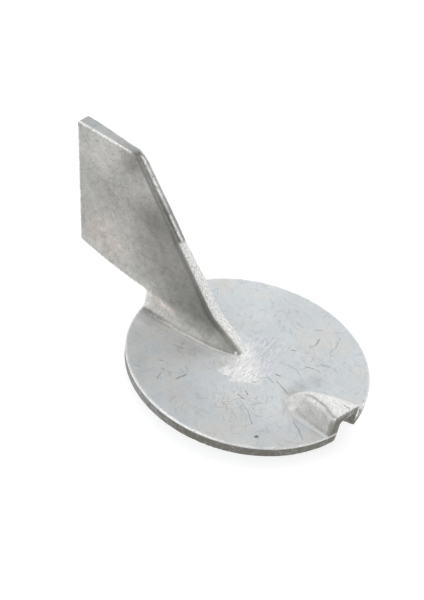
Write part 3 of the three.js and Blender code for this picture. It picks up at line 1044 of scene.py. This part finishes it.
def cast_paint():
    paint = Paint("cast_alloy")
    names = ("blade", "patch", "patch_bright", "linished_and_lit", "grime_and_shade")
    blade, patch, patch_bright, linished_and_lit, grime_and_shade = map(paint.mask, names)
    names = ("shade", "edge_wear_and_highlight", "crevice_shade", "scribble", "rose")
    shade, edge_wear_and_highlight, crevice_shade, scribble, rose = map(paint.mask, names)
    clouds = paint.noise(16.0, detail=3.0)
    tints = paint.noise(11.0, paint.vector(paint.x + 50.0, paint.y, paint.z), detail=2.0)
    mottle = paint.noise(3.0, detail=5.0, roughness=0.68)
    leaning = paint.vector(paint.x + paint.z * 0.6, paint.y, paint.z * 0.35)
    smear = paint.noise(4.0, leaning, detail=4.0, roughness=0.6)
    grain = paint.noise(0.45, detail=3.0)
    speckle = paint.noise(0.8, detail=4.0, roughness=0.75)

    wave_u = paint.noise(2.4, detail=2.0)
    wave_v = paint.noise(2.2, paint.vector(paint.y, paint.x, paint.z), detail=2.0)
    u, v = paint.x + wave_u * 1.6, paint.y + paint.z * 1.3 + wave_v * 1.6
    hairs = cast_hairlines(paint, u, v, clouds, scribble)
    nicks = blade_nicks(paint, paint.x + wave_u * 1.4, paint.z + wave_v * 1.4, mottle, blade)
    smudges = paint.strokes(u, v, 7.0, 2.6, 0.9, 0.3, 0.5, 7) * (speckle * 3.0 + 0.7)
    pale_hairs = paint.strokes(u, v, 6.0, 3.5, 0.14, 0.1, 0.5, 4)
    specks = paint.strokes(u, v, 4.4, 0.4, 0.28, 0.0, 0.3, 5)
    mark_x, mark_y = paint.x + wave_u * 0.9, paint.y + wave_v * 0.9
    marks = plate_marks(paint, mark_x, mark_y)
    crack = paint.segment(mark_x, mark_y, *ROOF_CRACK, CRACK_HALF_WIDTH) * paint.z.step(10.5, 11.5)

    brush = paint.noise(0.34, paint.vector(paint.x, paint.y * 0.1, paint.z * 0.2), detail=5.0, roughness=0.7)
    linish = paint.noise(0.42, paint.vector(paint.x * 0.35, paint.y, paint.z * 0.35), detail=5.0, roughness=0.7)
    # fresh ground metal, with painted light on the hood's flank and cap
    fresh_and_lit = (patch_bright * 0.82 + linished_and_lit).math("MINIMUM", 1.0) * (speckle * 1.6 + 0.9)
    fresh_and_lit = fresh_and_lit.clamp(0.0, 1.0)
    scrape = patch * brush + linished_and_lit * linish

    colour = base_colour(paint, tints, blade, rose, speckle)
    tone = 1.0
    for noise, (plate_share, blade_share) in zip((clouds, mottle, smear, grain, speckle), TONE_SHARES):
        tone = tone + noise * (plate_share + blade * blade_share)
    # painted shade and painted light from the shade mask, and painted shade in the concave corners
    tone = tone * (1.0 - shade) * (1.0 - crevice_shade * CREVICE_DARKNESS)
    tone = tone * (1.0 - hairs * HAIR_DARKNESS) * (1.0 - nicks * NICK_DARKNESS)
    tone = tone * (1.0 - specks * SPECK_DARKNESS) * (1.0 - smudges * SMUDGE_DARKNESS)
    tone = tone * (1.0 + pale_hairs * (PALE_HAIR + blade * PALE_HAIR_ON_BLADE)) * (1.0 - marks * MARK_DARKNESS)
    colour = paint.shade(colour, tone)
    colour = paint.mix(patch * 0.85, colour, paint.shade(SANDED_BLUE, 1.0 + brush * 2.0))
    ground_tone = 1.0 + scrape * 1.9 + speckle * linished_and_lit * 0.6 + grain * linished_and_lit * 0.8 - marks * 0.6
    colour = paint.mix(fresh_and_lit, colour, paint.shade(FRESH_AND_LIT_METAL, ground_tone))
    # dark oxide and dirt, with painted shade in the channel, its mouth and on the rim
    soil_and_shade = (grime_and_shade * (speckle * 1.6 + mottle * 0.9 + 0.88)).clamp(0.0, 0.97)
    colour = paint.mix(soil_and_shade, colour, DARK_OXIDE_AND_SHADE)
    colour = paint.mix(crack * CRACK_DARKNESS, colour, DARK_OXIDE_AND_SHADE)
    # bright worn edges and painted highlights
    worn_and_highlit = (edge_wear_and_highlight * (speckle * 3.0 + mottle * 2.5 + 0.8)).clamp(0.0, 1.0)
    colour = paint.mix(worn_and_highlit * 0.9, colour, WORN_AND_HIGHLIT_METAL)

    roughness = CAST_ROUGHNESS + mottle * 0.16 + soil_and_shade * 0.2 - fresh_and_lit * 0.10 + hairs * 0.1 - worn_and_highlit * 0.12
    height = grain * 0.04 + mottle * 0.07 + speckle * linished_and_lit * 0.35 + scrape * 0.16 - marks * 0.12
    return paint.finish(colour, roughness, CAST_METALLIC, height)


STEEL_GREY = (0.42, 0.41, 0.39)
STEEL_METALLIC = 0.95


def steel_paint():
    paint = Paint("insert_steel")
    mottle = paint.noise(1.8, detail=4.0)
    turning = paint.vector((paint.x * paint.x + paint.y * paint.y).math("SQRT") * 3.0, paint.z * 0.3)
    rings = paint.noise(0.6, turning, detail=2.0)
    colour = paint.shade(STEEL_GREY, 1.0 + mottle * 0.35)
    return paint.finish(colour, 0.36 + mottle * 0.2, STEEL_METALLIC, rings * 0.03 + mottle * 0.02)


casting.data.materials.append(cast_paint())
insert.data.materials.append(steel_paint())

PIECES = ((casting, "anode_casting", "cast_alloy"), (insert, "threaded_insert", "insert_steel"))
for piece, node, slot in PIECES:
    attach(piece, "root")
    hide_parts(node)

# ---------------------------------------------------------------- floor and light
FLOOR_REACH = 40.0
FLOOR_GREY = 0.45
FLOOR_ROUGHNESS = 0.9
FLOOR_GLOW = 0.64

# The studio's walls: a base glow, more upward, much more behind the object, and a pale band along the floor.
# Each span is of the upward or backward part of the direction, from -1 to 1.
SKY_LOW = 0.12
SKY_RISE = 0.12
SKY_RISE_SPAN = (-0.1, 1.0)
SKY_BACK = 1.1
SKY_BACK_SPAN = (-0.2, 1.0)
SKY_HORIZON = 0.9
SKY_HORIZON_SPAN = (0.03, 0.22)

SOFTBOX_SIZE = 1.8
KEY_PLACE = (-0.3, -0.5, 0.9)
KEY_POWER = 8.3
FILL_PLACE = (0.5, -0.4, 0.8)
FILL_POWER = 4.1


def floor_material():
    material = bpy.data.materials.new("floor")
    material.use_nodes = True
    shader = material.node_tree.nodes["Principled BSDF"]
    shader.inputs["Base Color"].default_value = (FLOOR_GREY, FLOOR_GREY, FLOOR_GREY, 1)
    shader.inputs["Roughness"].default_value = FLOOR_ROUGHNESS
    shader.inputs["Emission Color"].default_value = (1, 1, 1, 1)
    shader.inputs["Emission Strength"].default_value = FLOOR_GLOW
    return material


def make_floor():
    """A square of floor under the lowest point of the CAD model."""
    floor_z = cad_box[0][2]
    mesh = bpy.data.meshes.new("floor")
    corners = [(-1, -1), (1, -1), (1, 1), (-1, 1)]
    mesh.from_pydata([(FLOOR_REACH * x, FLOOR_REACH * y, floor_z) for x, y in corners], [], [(0, 1, 2, 3)])
    floor = bpy.data.objects.new("floor", mesh)
    bpy.context.scene.collection.objects.link(floor)
    floor.data.materials.append(floor_material())
    return floor


def make_sky():
    world = bpy.data.worlds.new("studio")
    world.use_nodes = True
    sky = world.node_tree
    direction = sky.nodes.new("ShaderNodeTexCoord").outputs["Generated"]
    parts = sky.nodes.new("ShaderNodeSeparateXYZ")
    sky.links.new(direction, parts.inputs[0])
    up, back = Wire(sky, parts.outputs["Z"]), Wire(sky, parts.outputs["Y"])
    glow = SKY_LOW + up.step(*SKY_RISE_SPAN) * SKY_RISE + back.step(*SKY_BACK_SPAN) * SKY_BACK
    glow = glow + up.fall(*SKY_HORIZON_SPAN) * SKY_HORIZON
    feed(sky, sky.nodes["Background"].inputs["Strength"], glow)
    sky.nodes["Background"].inputs["Color"].default_value = (1.0, 1.0, 1.0, 1)
    bpy.context.scene.world = world


def softbox(name, place, power):
    """A round area light aimed at the plate's centre."""
    light = bpy.data.lights.new(name, "AREA")
    light.shape = "DISK"
    light.size = SOFTBOX_SIZE
    light.energy = power
    lamp = bpy.data.objects.new(name, light)
    lamp.location = place
    lamp.rotation_euler = (-Vector(place)).to_track_quat("-Z", "Y").to_euler()
    bpy.context.scene.collection.objects.link(lamp)


floor = make_floor()
make_sky()
bpy.context.scene.view_settings.view_transform = "Standard"
softbox("key", KEY_PLACE, KEY_POWER)
softbox("fill", FILL_PLACE, FILL_POWER)
